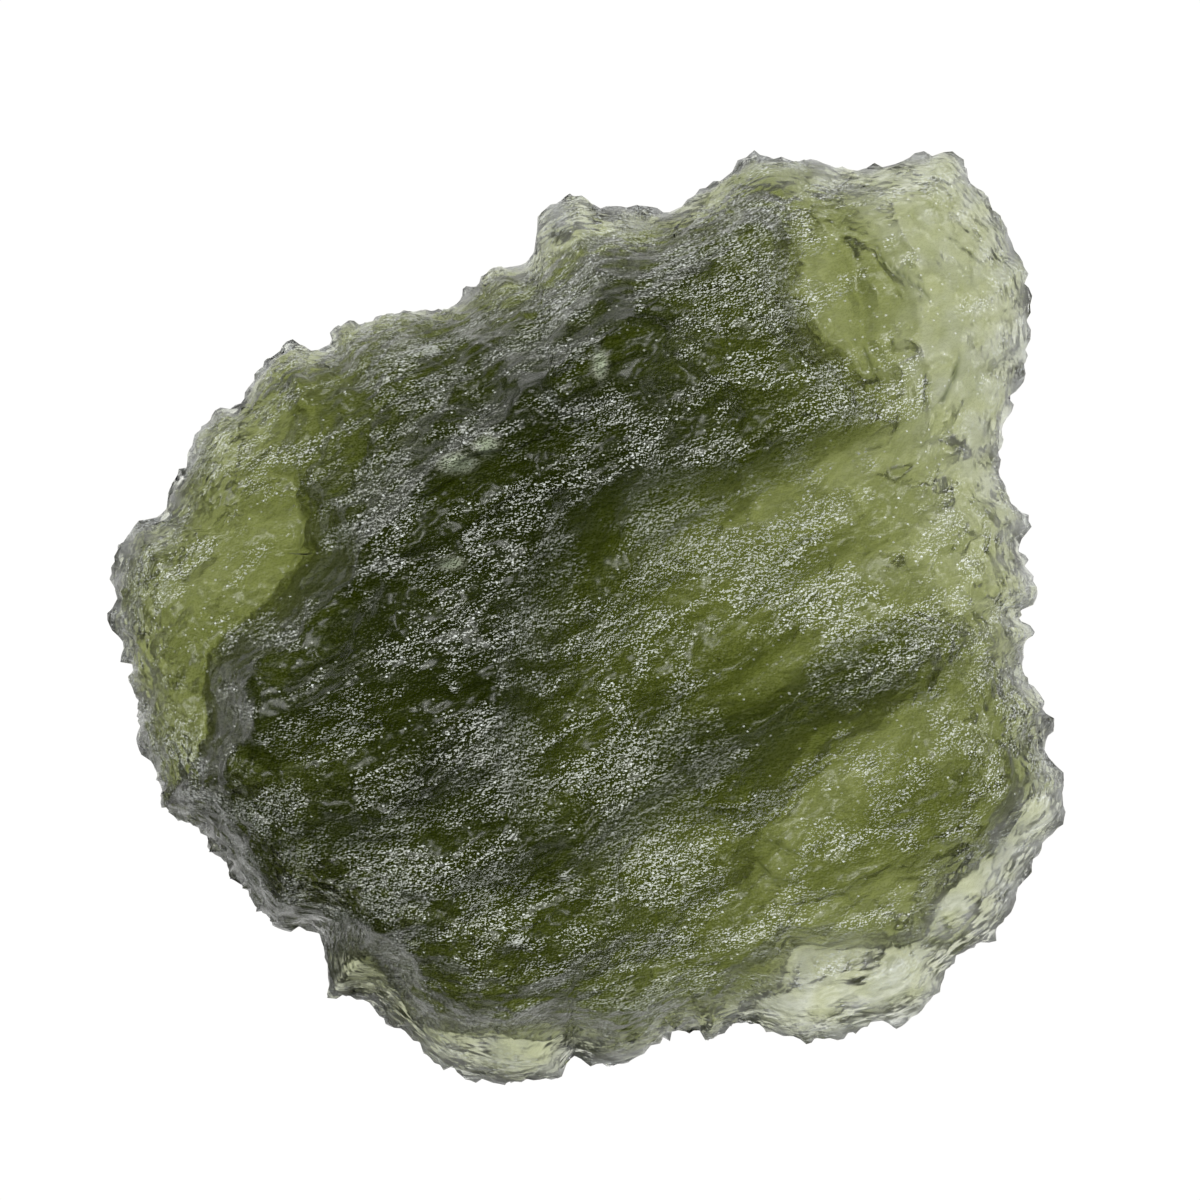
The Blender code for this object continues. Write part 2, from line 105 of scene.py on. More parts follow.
# Shelves: thin places behind a wall, as the glass left there, the wall's slope and the outline.
SHELVES = [
    (3.4, 3.2, [(-8.1, 4.0), (-8.0, 3.1), (-7.9, 1.9), (-8.9, 0.7), (-9.7, 0.0), (-10.6, -1.0),
                (-10.7, -2.0), (-10.5, -3.0), (-11.1, -4.4), (-13.0, -5.1), (-14.4, -2.3),
                (-14.1, 1.7), (-12.2, 3.4), (-10.5, 3.8)]),
    (1.6, 0.8, [(8.5, 13.4), (8.7, 11.4), (9.7, 9.4), (9.5, 7.8), (10.2, 6.2), (11.5, 4.4),
                (13.5, 3.8), (13.5, 13.7)]),
    (1.1, 3.0, [(8.8, -9.5), (9.5, -9.1), (9.9, -8.0), (10.2, -7.6), (11.1, -7.1), (11.8, -6.5),
                (12.8, -4.8), (14.6, -4.8), (14.6, -12.5), (5.0, -13.1), (4.4, -11.1), (5.5, -10.4),
                (6.1, -9.5), (7.5, -9.4)]),
    (1.2, 5.0, [(-9.9, -8.6), (-8.5, -8.9), (-7.0, -9.5), (-5.6, -10.2), (-4.7, -11.3), (-3.3, -11.7),
                (-1.3, -11.8), (0.4, -12.1), (0.4, -14.2), (-5.9, -14.2), (-10.4, -10.8)]),
    (1.6, 2.2, [(-1.9, 10.1), (-0.2, 11.0), (1.8, 11.5), (3.2, 12.0), (3.2, 13.7), (-3.0, 13.7),
                (-3.0, 10.3)]),
]

# Crests: x, y and height at each point. The steep side is on the left of the line's direction.
CRESTS = [
    [(1.5, -5.3, 0.0), (2.3, -3.6, 1.5), (3.4, -3.3, 2.0), (5.0, -2.6, 2.0), (6.1, -2.0, 1.9),
     (7.5, -1.3, 1.7), (8.9, -0.7, 1.4), (11.5, 0.0, 0.0)],
    [(5.8, -8.4, 0.0), (4.5, -9.7, 0.8), (3.2, -10.6, 1.3), (1.5, -11.0, 1.5), (-0.5, -10.9, 1.2),
     (-2.4, -10.9, 0.9), (-4.4, -10.4, 0.0)],
    [(4.4, 12.4, 0.0), (5.2, 11.5, 1.0), (5.4, 9.4, 1.3), (6.2, 7.7, 1.4), (7.4, 6.5, 1.1),
     (7.0, 5.8, 1.2), (5.5, 4.7, 1.2), (3.8, 4.3, 1.0), (1.5, 4.0, 0.7), (-0.7, 3.6, 0.0)],
    [(-4.2, 8.6, 0.0), (-2.5, 9.6, 0.6), (-0.7, 10.4, 0.9), (1.8, 11.4, 0.8), (4.2, 12.2, 0.0)],
    [(-7.0, 2.8, 0.0), (-5.3, 4.0, 0.5), (-3.3, 4.7, 0.6), (-0.7, 5.1, 0.5), (0.4, 5.7, 0.0)],
    [(-3.3, 1.7, 0.0), (-4.4, 1.8, 0.5), (-6.4, 1.1, 0.6), (-8.4, 0.3, 0.0)],
    [(-4.2, -0.6, 0.0), (-1.9, -0.6, 0.4), (0.4, 0.6, 0.5), (2.1, 2.3, 0.5), (3.8, 3.4, 0.0)],
    [(-7.6, -6.6, 0.0), (-5.4, -5.2, 0.5), (-3.2, -3.2, 0.6), (-1.8, -1.9, 0.0)],
]
CREST_STEEP_RUN = 0.8
CREST_GENTLE_RUN = 3.0

# Swells and etched ripples that run with the flow of the glass: period and height, then stretch.
FLOW_HEADING = math.radians(28.0)
SWELL = (4.5, 0.55)
SWELL_STRETCH = 1.6
RIPPLE = (1.5, 0.45)
RIPPLE_STRETCH = 2.4
SCALLOP = (2.3, 0.60)
SCALLOP_STRETCH = 1.8

# How far lines wander from their drawn course, and how the etching fades where the glass is thin.
WANDER = (2.2, 0.30)
FULL_PITTING_DEPTH = 4.0
LEAST_PITTING = 0.3
LINE_STEPS = 4
BLEND = 0.3

# Underside: a bowl that is cut off flat where the stone rests.
REST_MIDDLE = (-0.2, 0.1)
BOWL_RADIUS = 13.0
BOWL_RISE = 3.2
BOWL_FLATTENING = 0.3
BOWL_SINK = 0.22
UNDERSIDE_SWELL = (5.0, 0.45)
UNDERSIDE_STRETCH = 1.5
CALM_SHARE = 0.2
CALM_FADE = 0.5

# Rim: a rounded edge that the glass tapers to, lifted off the ground.
RIM_THICKNESS = 0.5
RIM_ROUNDING = 0.35
RIM_TAPER = 0.85
RIM_LIFT = 0.4
RIM_LIFT_REACH = 1.6
RIM_WAVE = (0.9, 0.35)

# Where the rim is blunt and stands higher: x, y, reach, and how much steeper and higher it is there.
BLUNT_RIM = (-7.5, -7.5, 6.0)
BLUNT_STEEPER = 0.55
BLUNT_LIFT = 2.2

# Net of the stone: squares along each edge of the cube, and the height on its sides where the rim lies.
SQUARES_AN_EDGE = 128
RIM_ROW = -0.75

# Finer relief of the natural surface: period and depth.
PIT_LARGE = (0.95, 0.24)
PIT_SMALL = (0.45, 0.13)
PIT_STRETCH = 1.7
PIT_MIDDLE = 0.3
STRIATION = (0.42, 0.16)
STRIATION_STRETCH = 5.0
STRIATION_MIDDLE = 0.25

# Chipped facets, strongest at the rim: size and height, share left away from the rim and reach from it.
# The seed fixes their tilts, which would otherwise follow the clock and differ in each run.
CHIP_SEED = 1795603696
CHIP = (0.85, 0.34)
CHIP_ELSEWHERE = 0.25
CHIP_REACH = 1.8
CHIP_SPREAD = 5.7
FINE_CHIP_SHARE = 0.5
RIM_TRIM = 0.12

# Scoop at the upper right whose pits run another way: middle, direction, reach and where it is full.
SCOOP_MIDDLE = (7.6, 9.4)
SCOOP_HEADING = math.radians(84.0)
SCOOP_REACH = 2.2
SCOOP_FULL = 0.6

# Frost, how densely the glass is etched and strewn with painted glints: everywhere, in patches and frays
# (period, strength, stretch) and on slopes. The zones get more etching and painted glints or are left
# smoother: x, y, reach and change in frost.
GLINT_FROST_EVERYWHERE = 0.16
GLINT_FROST_PATCH = (1.1, 0.9, 2.2)
GLINT_FROST_FRAY = (0.40, 0.8, 2.0)
GLINT_FROST_ON_SLOPES = 0.42
GLINT_FROST_ZONES = [
    (5.0, 1.4, 1.5, 0.85), (2.5, 2.5, 1.2, 0.6), (4.6, 9.4, 1.7, 0.7), (3.8, 11.1, 1.4, 0.4),
    (-3.6, -5.0, 2.2, 0.35), (0.1, 5.0, 1.6, 0.3), (1.3, -11.1, 2.0, 0.3), (-6.0, 3.2, 1.6, 0.3),
    (1.6, -6.8, 2.0, 0.35), (-5.5, -8.0, 2.6, 0.25), (7.0, -4.0, 2.0, -0.15), (5.5, -2.4, 1.4, -0.3),
    (4.7, -1.7, 1.4, -0.6), (3.2, -2.8, 1.2, -0.5), (1.8, 7.8, 1.4, -0.9), (-9.0, 2.0, 1.8, -0.4),
    (-11.0, -0.9, 1.8, -0.3), (7.4, 9.4, 2.0, -0.3), (8.4, 5.1, 2.5, -0.25), (-7.4, 0.2, 2.2, -0.2),
    (9.6, 11.0, 2.5, -0.2), (-4.0, -1.6, 2.4, -0.1),
    (1.5, -0.6, 1.4, 0.45), (9.2, -1.6, 1.6, 0.35), (3.5, -4.8, 1.5, 0.3), (-6.4, -6.6, 1.8, 0.25),
]

# Glass thickness where the painted darkening of thick glass starts and where it is full, and how much
# painted shade steep walls get.
THIN_GLASS = 2.5
THICK_GLASS = 7.0
STEEP_WALL_SHADE = 0.9
THINNEST_SHADED_WALL = 0.5

# How far in from the rim the marks are rolled out over the outer wall.
WALL_REACH = 0.8

# Thin dark cracks, as lines of x and y.
CRACKS = [
    [(8.1, 10.8), (8.4, 10.2), (8.8, 9.8), (9.3, 9.6), (9.7, 9.1)], [(7.8, 7.7), (8.1, 7.3), (8.4, 6.7)],
    [(3.8, -5.4), (4.2, -5.6), (4.5, -6.1)], [(5.2, -6.1), (5.6, -6.5), (6.1, -6.6)],
    [(4.8, -6.8), (5.3, -7.3), (5.9, -7.4)], [(10.6, 7.4), (10.4, 6.7), (10.1, 6.1)],
    [(-8.0, 3.9), (-7.9, 3.0), (-8.3, 1.4)],
]
CRACK_HALF_WIDTH = 0.07
CRACK_DEPTH = 0.15
CRACK_WANDER = (0.5, 0.12)
LOWEST_CRACK = 2.0

# Clear beads and chips, raised, whose shine is painted on as white glints: x, y, reach along x and along y.
BEADS = [
    (9.5, 6.6, 0.11, 0.30), (-4.4, 7.6, 0.24, 0.18), (-5.6, 6.8, 0.14, 0.12), (-10.5, 4.3, 0.14, 0.12),
    (-3.3, 2.3, 0.16, 0.22), (1.5, 8.8, 0.14, 0.12), (-1.9, -9.0, 0.28, 0.20), (-3.7, -1.9, 0.14, 0.16),
    (-3.0, 2.4, 0.12, 0.12), (0.3, 7.6, 0.12, 0.16), (-0.6, -7.2, 0.16, 0.12), (7.6, -6.2, 0.12, 0.12),
]
BEAD_RISE = 0.12

# Milky chips, with painted lit edges, that let some light through: x, y, reach along x and along y.
MILKY_LIT_CHIPS = [
    (-3.6, 4.4, 0.55, 0.30), (-2.8, 4.9, 0.35, 0.30), (0.4, 7.2, 0.22, 0.45), (-3.8, 1.6, 0.40, 0.18),
]

# Glass: how fast red, green and blue fade, per metre of glass, how it bends light and how it shines.
FADE = (335.0, 303.0, 610.0)
FADE_HEADROOM = 1.02
GLASS_IOR = 1.49
BODY_ROUGHNESS = 0.29
SPECULAR_TINT = (0.35, 0.35, 0.35, 1.0)

# Colours of the surface, with painted darkening, painted shade and painted glints, and the share of the
# light that a white mark keeps out.
CLEAR = (0.91, 0.91, 0.90, 1.0)
# Painted darkening of thick glass and painted shade on steep walls.
THICK_AND_WALL_SHADE_TINT = (0.55, 0.55, 0.45, 1.0)
# Painted shade on unlit sides and in pit floors, also the colour of the cracks.
SHADE_AND_CRACK_TINT = (0.16, 0.18, 0.12, 1.0)
# White of the painted glints.
PAINTED_GLINT_WHITE = (0.78, 0.82, 0.80, 1.0)
# Milky chips, paler where their edges are painted as lit.
MILKY_LIT_CHIP_COLOUR = (0.36, 0.42, 0.29, 1.0)
WHITE_BLOCKS = 0.8

# Fine marks, drawn longer along the flow: number per millimetre and strength of each kind. Their lit
# side is found by comparing them with the same marks a little further on.
FLOW_SHARE = 0.72
LIT_SHIFT = (0.0, 0.038, 0.0152)
FINE_GRAIN = (24.0, 1.0)
PITS = (10.5, 0.50)
SCALES = (3.9, 0.55)

# Painted glints, white flecks on lit sides: how frost and beads help them, how soft their edge is and how
# they thin out.
PAINTED_GLINT_BIAS = 0.17
BEAD_GLINT_BIAS = 0.30
PAINTED_GLINT_EDGE = (0.22, 0.36)
PAINTED_GLINT_DENSITY = (0.0, 0.5, 0.15, 1.0)
PAINTED_GLINT_SHARE = 0.68

# Single painted glints, as bright grains.
PAINTED_SPARKLE_SCALE = 5.6
PAINTED_SPARKLE_BIAS = 0.35
PAINTED_SPARKLE_EDGE = (0.20, 0.10)
PAINTED_SPARKLE_CHANCE = (0.80, 1.10)

# Painted shade on unlit sides and in pit floors, stronger where the glass is thick, and the grain of milky
# chips, paler on their painted lit side.
PIT_SHADE_SHARE = 0.1
PAINTED_SHADE_EDGE = (0.03, -0.12)
PAINTED_SHADE_BY_DEPTH = (0.0, 1.0, 0.2, 1.0)
MILKY_LIT_CHIP_GRAIN = (-0.2, 0.15, 0.3, 1.0)

# Streaks too shallow for the mesh.
STREAK_SCALE = 0.9
STREAK_OCTAVES = 2.0
STREAK_DEPTH = 0.45 * MM

# Pale whitish veil on the thinnest glass: thickness where it starts and is full, strength, and the
# period and strength of its mottling.
PALE_GLASS = (3.0, 1.0)
PALE_VEIL = 0.42
PALE_MOTTLE = (0.45, 1.1)

# The floor is a light table: it glows evenly. Sizes, places and powers of the stage are in metres and watts.
FLOOR_GLOW = 1.03
FLOOR_COLOUR = (1.0, 1.0, 0.985, 1.0)
FLOOR_SIZE = 0.6
FLOOR_HEIGHT = -0.00002
STUDIO_GLOW = 0.15
LIGHTS = [("soft key", (-0.12, 0.20, 0.40), 0.22, 2.0), ("soft fill", (0.30, 0.02, 0.30), 0.12, 0.9)]

# Camera: straight above, a little off the middle of the stone.
CAMERA_PLACE = (0.4 * MM, 0.57 * MM, 0.60)
SENSOR_WIDTH = 36.0
PHOTO_PIXELS = 1200
PIXEL_SIZE = 0.0285 * MM


def smooth_line(points, steps, closed=False):
    """A soft curve through the points, as an array with the same columns."""
    points = numpy.array(points, dtype=float)
    count = len(points)
    if closed:
        before = points[numpy.arange(-1, count - 1)]
        after = points[(numpy.arange(count) + 1) % count]
        beyond = points[(numpy.arange(count) + 2) % count]
        start = points
    else:
        start = points[:-1]
        after = points[1:]
        before = numpy.vstack([points[:1], points[:-2]])
        beyond = numpy.vstack([points[2:], points[-1:]])
    t = numpy.arange(steps)[:, None, None] / steps
    curve = 0.5 * (2.0 * start + (after - before) * t
                   + (2.0 * before - 5.0 * start + 4.0 * after - beyond) * t ** 2
                   + (3.0 * start - before - 3.0 * after + beyond) * t ** 3)
    curve = curve.transpose(1, 0, 2).reshape(-1, points.shape[1])
    if closed:
        return curve
    return numpy.vstack([curve, points[-1:]])


def nearest(x, y, line, closed=False):
    """Distance to a line, which side of it a place is on and the line's own values there."""
    ends = numpy.roll(line, -1, axis=0) if closed else line[1:]
    starts = line if closed else line[:-1]
    best = numpy.full(x.shape, 1e9)
    side = numpy.ones(x.shape)
    values = numpy.zeros((len(x), line.shape[1]))
    for start, end in zip(starts, ends):
        along = end[:2] - start[:2]
        length = max(float(along @ along), 1e-9)
        t = numpy.clip(((x - start[0]) * along[0] + (y - start[1]) * along[1]) / length, 0.0, 1.0)
        off_x = x - start[0] - t * along[0]
        off_y = y - start[1] - t * along[1]
        distance = numpy.hypot(off_x, off_y)
        closer = distance < best
        best = numpy.where(closer, distance, best)
        side = numpy.where(closer, numpy.sign(along[0] * off_y - along[1] * off_x), side)
        here = start + t[:, None] * (end - start)
        values = numpy.where(closer[:, None], here, values)
    return best, side, values


def inside(x, y, line):
    """True where a place is inside a closed line."""
    within = numpy.zeros(x.shape, dtype=bool)
    for start, end in zip(line, numpy.roll(line, -1, axis=0)):
        crosses = (start[1] > y) != (end[1] > y)
        rise = end[1] - start[1]
        if abs(rise) > 1e-12:
            within ^= crosses & (x < start[0] + (y - start[1]) * (end[0] - start[0]) / rise)
    return within


def grain(x, y, period, seed, stretch=1.0):
    """Smooth noise, longer along the flow of the glass by the stretch."""
    along = (x * math.cos(FLOW_HEADING) + y * math.sin(FLOW_HEADING)) / (period * stretch)
    across = (y * math.cos(FLOW_HEADING) - x * math.sin(FLOW_HEADING)) / period
    return numpy.array([noise.noise(Vector((a, b, seed))) for a, b in zip(along, across)])


def scallops(x, y, period, seed):
    """Shallow round hollows that meet in crisp edges, zero in the floor of each."""
    along = (x * math.cos(FLOW_HEADING) + y * math.sin(FLOW_HEADING)) / (period * SCALLOP_STRETCH)
    across = (y * math.cos(FLOW_HEADING) - x * math.sin(FLOW_HEADING)) / period
    nearest_cell = [noise.voronoi(Vector((a, b, seed)))[0][0] for a, b in zip(along, across)]
    return numpy.minimum(numpy.array(nearest_cell), 1.0) ** 2


def lower_of(first, second, blend=BLEND):
    """The lower of two heights with a narrow rounded crest where they meet."""
    share = numpy.clip(0.5 + 0.5 * (second - first) / blend, 0.0, 1.0)
    return second * (1.0 - share) + first * share - blend * share * (1.0 - share)


def glass_depth(x, y):
    """Thickness of the stone above its underside."""
    east = x - CORE_MIDDLE[0]
    north = y - CORE_MIDDLE[1]
    u = (east * math.cos(CORE_HEADING) + north * math.sin(CORE_HEADING)) / CORE_HALF_LENGTH
    v = (north * math.cos(CORE_HEADING) - east * math.sin(CORE_HEADING)) / CORE_HALF_WIDTH
    depth = SKIRT_THICKNESS + CORE_THICKNESS * numpy.exp(-(u * u + v * v) ** CORE_FLATNESS)
    for mound_x, mound_y, reach, height in MOUNDS:
        depth += height * numpy.exp(-((x - mound_x) ** 2 + (y - mound_y) ** 2) / reach ** 2)
    depth += SWELL[1] * grain(x, y, SWELL[0], seed=3.1, stretch=SWELL_STRETCH)
    wander_x = x + WANDER[1] * grain(x, y, WANDER[0], seed=11.3)
    wander_y = y + WANDER[1] * grain(x, y, WANDER[0], seed=17.9)
    for points in FLUTES:
        distance, side, values = nearest(wander_x, wander_y, smooth_line(points, LINE_STEPS))
        half_width = numpy.where(side > 0.0, values[:, 3], values[:, 4])
        wall = FLUTE_WALL_RISE * (distance / half_width) ** 2
        depth = lower_of(depth, values[:, 2] + wall)
    for floor, slope, points in SHELVES:
        line = numpy.array(points)
        distance, _, _ = nearest(wander_x, wander_y, line, closed=True)
        outward = numpy.where(inside(wander_x, wander_y, line), -distance, distance)
        depth = lower_of(depth, floor + slope * numpy.maximum(outward, 0.0))
    for points in CRESTS:
        distance, side, values = nearest(wander_x, wander_y, smooth_line(points, LINE_STEPS))
        run = numpy.where(side > 0.0, CREST_STEEP_RUN, CREST_GENTLE_RUN)
        depth += values[:, 2] * numpy.clip(1.0 - distance / run, 0.0, 1.0) ** 1.5
    ripple = 0.5 - 2.0 * numpy.abs(grain(x, y, RIPPLE[0], seed=23.7, stretch=RIPPLE_STRETCH))
    pitting = RIPPLE[1] * ripple + SCALLOP[1] * scallops(wander_x, wander_y, SCALLOP[0], seed=0.5)
    return depth + pitting * numpy.clip(depth / FULL_PITTING_DEPTH, LEAST_PITTING, 1.0)


def underside(x, y, lift):
    """Height of the stone's underside, zero over the flat spot."""
    share = numpy.hypot(x - REST_MIDDLE[0], y - REST_MIDDLE[1]) / BOWL_RADIUS
    bowl = BOWL_RISE * share ** 2 / (1.0 + BOWL_FLATTENING * share ** 2) - BOWL_SINK
    wave = UNDERSIDE_SWELL[1] * grain(x, y, UNDERSIDE_SWELL[0], seed=41.2, stretch=UNDERSIDE_STRETCH)
    wave -= SCALLOP[1] * scallops(x, y, SCALLOP[0] * UNDERSIDE_STRETCH, seed=7.5)
    return numpy.maximum(bowl + lift + wave * numpy.clip((share - CALM_SHARE) / CALM_FADE, 0.0, 1.0), 0.0)


def distance_from_rim(x, y):
    """Distance to the outline of the stone."""
    rim = smooth_line(OUTLINE, LINE_STEPS, closed=True)
    return nearest(x, y, rim, closed=True)[0]


def rim_reach(heading, rim):
    """Distance from the middle of the stone to its rim in each direction."""
    rim_heading = numpy.arctan2(rim[:, 1], rim[:, 0])
    order = numpy.argsort(rim_heading)
    reach = numpy.interp(heading, rim_heading[order], numpy.hypot(rim[:, 0], rim[:, 1])[order],
                         period=2.0 * math.pi)
    east = reach * numpy.cos(heading)
    north = reach * numpy.sin(heading)
    teeth = grain(east, north, TOOTH_PERIOD, seed=5.5)
    teeth += 0.5 * grain(east, north, 0.5 * TOOTH_PERIOD, seed=9.1)
    teeth += 0.35 * grain(east, north, 0.25 * TOOTH_PERIOD, seed=13.1)
    return reach + TOOTH_DEPTH * teeth


def shape_stone(heading, share, on_top):
    """Places on the stone, in millimetres, from a heading and the share of the way out to the rim."""
    reach = rim_reach(heading, smooth_line(OUTLINE, LINE_STEPS, closed=True))
    x = share * reach * numpy.cos(heading)
    y = share * reach * numpy.sin(heading)
    from_rim = distance_from_rim(x, y)
    blunt = numpy.exp(-((x - BLUNT_RIM[0]) ** 2 + (y - BLUNT_RIM[1]) ** 2) / BLUNT_RIM[2] ** 2)
    taper = RIM_TAPER * (1.0 - BLUNT_STEEPER * blunt)
    depth = RIM_THICKNESS + glass_depth(x, y) * (1.0 - numpy.exp(-from_rim / taper))
    lift = (RIM_LIFT + BLUNT_LIFT * blunt) * numpy.exp(-from_rim / RIM_LIFT_REACH)
    lift += RIM_WAVE[1] * grain(x, y, RIM_WAVE[0], seed=83.1) * numpy.exp(-from_rim / taper)
    bottom = underside(x, y, lift)
    near_rim = numpy.clip((1.0 - share) * reach / RIM_ROUNDING, 0.0, 1.0)
    rounding = numpy.sqrt(1.0 - (1.0 - near_rim) ** 2)
    middle = bottom + 0.5 * RIM_THICKNESS
    top = middle + (bottom + depth - middle) * rounding
    low = middle + (bottom - middle) * rounding
    return numpy.stack([x, y, numpy.where(on_top, top, low)], axis=1)


def spread_net(cube):
    """Heading and share of the way to the rim for each point of the cube's net.

    The rim lies low on the cube's sides, so that the upper side of the stone gets the finer net.
    """
    east, north, up = cube.T
    wide = numpy.maximum(numpy.abs(east), numpy.abs(north))
    safe = numpy.maximum(wide, 1e-9)
    mostly_east = numpy.abs(east) >= numpy.abs(north)
    lean = numpy.where(mostly_east, north / safe * numpy.sign(east), -east / safe * numpy.sign(north))
    base = numpy.where(mostly_east, numpy.where(east >= 0.0, 0.0, math.pi),
                       numpy.where(north >= 0.0, 0.5 * math.pi, 1.5 * math.pi))
    heading = base + 0.25 * math.pi * lean
    heading = numpy.arctan2(numpy.sin(heading), numpy.cos(heading))
    on_top = up >= RIM_ROW
    side_run = numpy.where(on_top, 1.0 - RIM_ROW, 1.0 + RIM_ROW)
    cap_share = 1.0 / (1.0 + 2.0 * side_run)
    down_side = numpy.where(on_top, 1.0 - up, 1.0 + up) / side_run
    area = cap_share * wide ** 2 + (1.0 - cap_share) * down_side
    return heading, numpy.sqrt(numpy.clip(area, 0.0, 1.0)), on_top


def cells(places, period, heading, seed, stretch):
    """Round-floored hollows with crisp edges in three dimensions, from 0 in the floor to 1."""
    along = (places[:, 0] * math.cos(heading) + places[:, 1] * math.sin(heading)) / (period * stretch)
    across = (places[:, 1] * math.cos(heading) - places[:, 0] * math.sin(heading)) / period
    height = places[:, 2] / period + seed
    near = [noise.voronoi(Vector(spot))[0][0] for spot in zip(along, across, height)]
    return numpy.minimum(numpy.array(near), 1.0) ** 2


def chips(places, period):
    """Small flat faces, each tilted its own way."""
    noise.seed_set(CHIP_SEED)
    heights = []
    for place in places / period:
        spot = Vector(place)
        middle = noise.voronoi(spot)[1][0]
        heights.append(noise.noise_vector(middle * CHIP_SPREAD).dot(spot - middle))
    return numpy.array(heights)


def spots(places, marks):
    """How near each place is to the nearest of the marks, 1 on it and 0 away from it."""
    best = numpy.zeros(len(places))
    for mark_x, mark_y, reach_x, reach_y in marks:
        away = ((places[:, 0] - mark_x) / reach_x) ** 2 + ((places[:, 1] - mark_y) / reach_y) ** 2
        best = numpy.maximum(best, numpy.exp(-away ** 2))
    return best


def crack_field(places):
    """How near each place is to a crack, 1 in it and 0 away from it."""
    best = numpy.zeros(len(places))
    x = places[:, 0] + CRACK_WANDER[1] * grain(places[:, 0], places[:, 1], CRACK_WANDER[0], seed=91.7)
    for points in CRACKS:
        away, _, _ = nearest(x, places[:, 1], numpy.array(points))
        best = numpy.maximum(best, numpy.exp(-(away / CRACK_HALF_WIDTH) ** 2))
    return best * (places[:, 2] > LOWEST_CRACK)


def unrolled(places):
    """Where marks are drawn: as seen from above, but rolled out along the stone's outer wall."""
    heading = numpy.arctan2(places[:, 1], places[:, 0])
    out = places[:, 2] * numpy.exp(-distance_from_rim(places[:, 0], places[:, 1]) / WALL_REACH)
    marks = places.copy()
    marks[:, 0] += out * numpy.cos(heading)
    marks[:, 1] += out * numpy.sin(heading)
    return marks


def pit_field(places):
    """Height of the etched relief along the surface normal, in millimetres."""
    from_rim = distance_from_rim(places[:, 0], places[:, 1])
    at_rim = numpy.exp(-from_rim / CHIP_REACH)
    size, height = CHIP
    total = height * chips(places, size) * (CHIP_ELSEWHERE + at_rim)
    total += FINE_CHIP_SHARE * height * chips(places + 40.0, FINE_CHIP_SHARE * size) * at_rim
    total += BEAD_RISE * spots(places, BEADS) - CRACK_DEPTH * crack_field(places)
    total -= RIM_TRIM * numpy.exp(-from_rim / RIM_ROUNDING)
    from_scoop = numpy.hypot(places[:, 0] - SCOOP_MIDDLE[0], places[:, 1] - SCOOP_MIDDLE[1])
    turned = numpy.clip(1.0 + SCOOP_FULL - from_scoop / SCOOP_REACH, 0.0, 1.0)
    near = turned > 0.0
    for seed, (period, depth) in enumerate((PIT_LARGE, PIT_SMALL)):
        pits = cells(places, period, FLOW_HEADING, 31.0 * seed, PIT_STRETCH)
        turned_pits = cells(places[near], period, SCOOP_HEADING, 57.0, PIT_STRETCH)
        pits[near] += turned[near] * (turned_pits - pits[near])
        total += depth * (pits - PIT_MIDDLE)
    striation = numpy.abs(grain(places[:, 0], places[:, 1], STRIATION[0], 61.3, STRIATION_STRETCH))
    return total + STRIATION[1] * (STRIATION_MIDDLE - striation)


def make_stone():
    """Mesh of the stone, with what its material needs to know stored at each point."""
    body = bmesh.new()
    bmesh.ops.create_cube(body, size=2.0)
    bmesh.ops.subdivide_edges(body, edges=body.edges[:], cuts=SQUARES_AN_EDGE - 1, use_grid_fill=True)
    cube = numpy.array([vertex.co[:] for vertex in body.verts])
    places = shape_stone(*spread_net(cube))
    for vertex, place in zip(body.verts, places):
        vertex.co = place
    bmesh.ops.recalc_face_normals(body, faces=body.faces[:])
    body.normal_update()
    normals = numpy.array([vertex.normal[:] for vertex in body.verts])
    relief = pit_field(places)
    places = places + normals * relief[:, None]
    places[:, 2] = numpy.maximum(places[:, 2], 0.0)
    for vertex, place in zip(body.verts, places):
        vertex.co = place * MM
    mesh = bpy.data.meshes.new(NAME)
    body.to_mesh(mesh)
    body.free()
    mesh.shade_smooth()

    marks = unrolled(places)
    glass_below = places[:, 2] - underside(places[:, 0], places[:, 1], 0.0)
    store_places(mesh, "marks", marks)
    # Stored for the material: the relief that sets painted shade in pit floors, the density of etching and
    # painted glints, painted darkening and wall shade, the pale veil, cracks, bead glints and milky chips.
    store(mesh, "relief", numpy.clip(0.5 + relief / (PIT_LARGE[1] + PIT_SMALL[1]), 0.0, 1.0))
    store(mesh, "glint_frost", glint_frost_field(marks, normals))
    store(mesh, "thick_and_wall_shade", thick_and_wall_shade_field(glass_below, normals))
    store(mesh, "pale", pale_field(places, glass_below))
    store(mesh, "crack", crack_field(places))
    store(mesh, "bead_glint", spots(places, BEADS))
    store(mesh, "milky_lit_chip", spots(places, MILKY_LIT_CHIPS))
    return mesh


def store(mesh, name, values):
    attribute = mesh.attributes.new(name, "FLOAT", "POINT")
    attribute.data.foreach_set("value", values.astype(numpy.float32))


def store_places(mesh, name, places):
    attribute = mesh.attributes.new(name, "FLOAT_VECTOR", "POINT")
    attribute.data.foreach_set("vector", places.astype(numpy.float32).ravel())


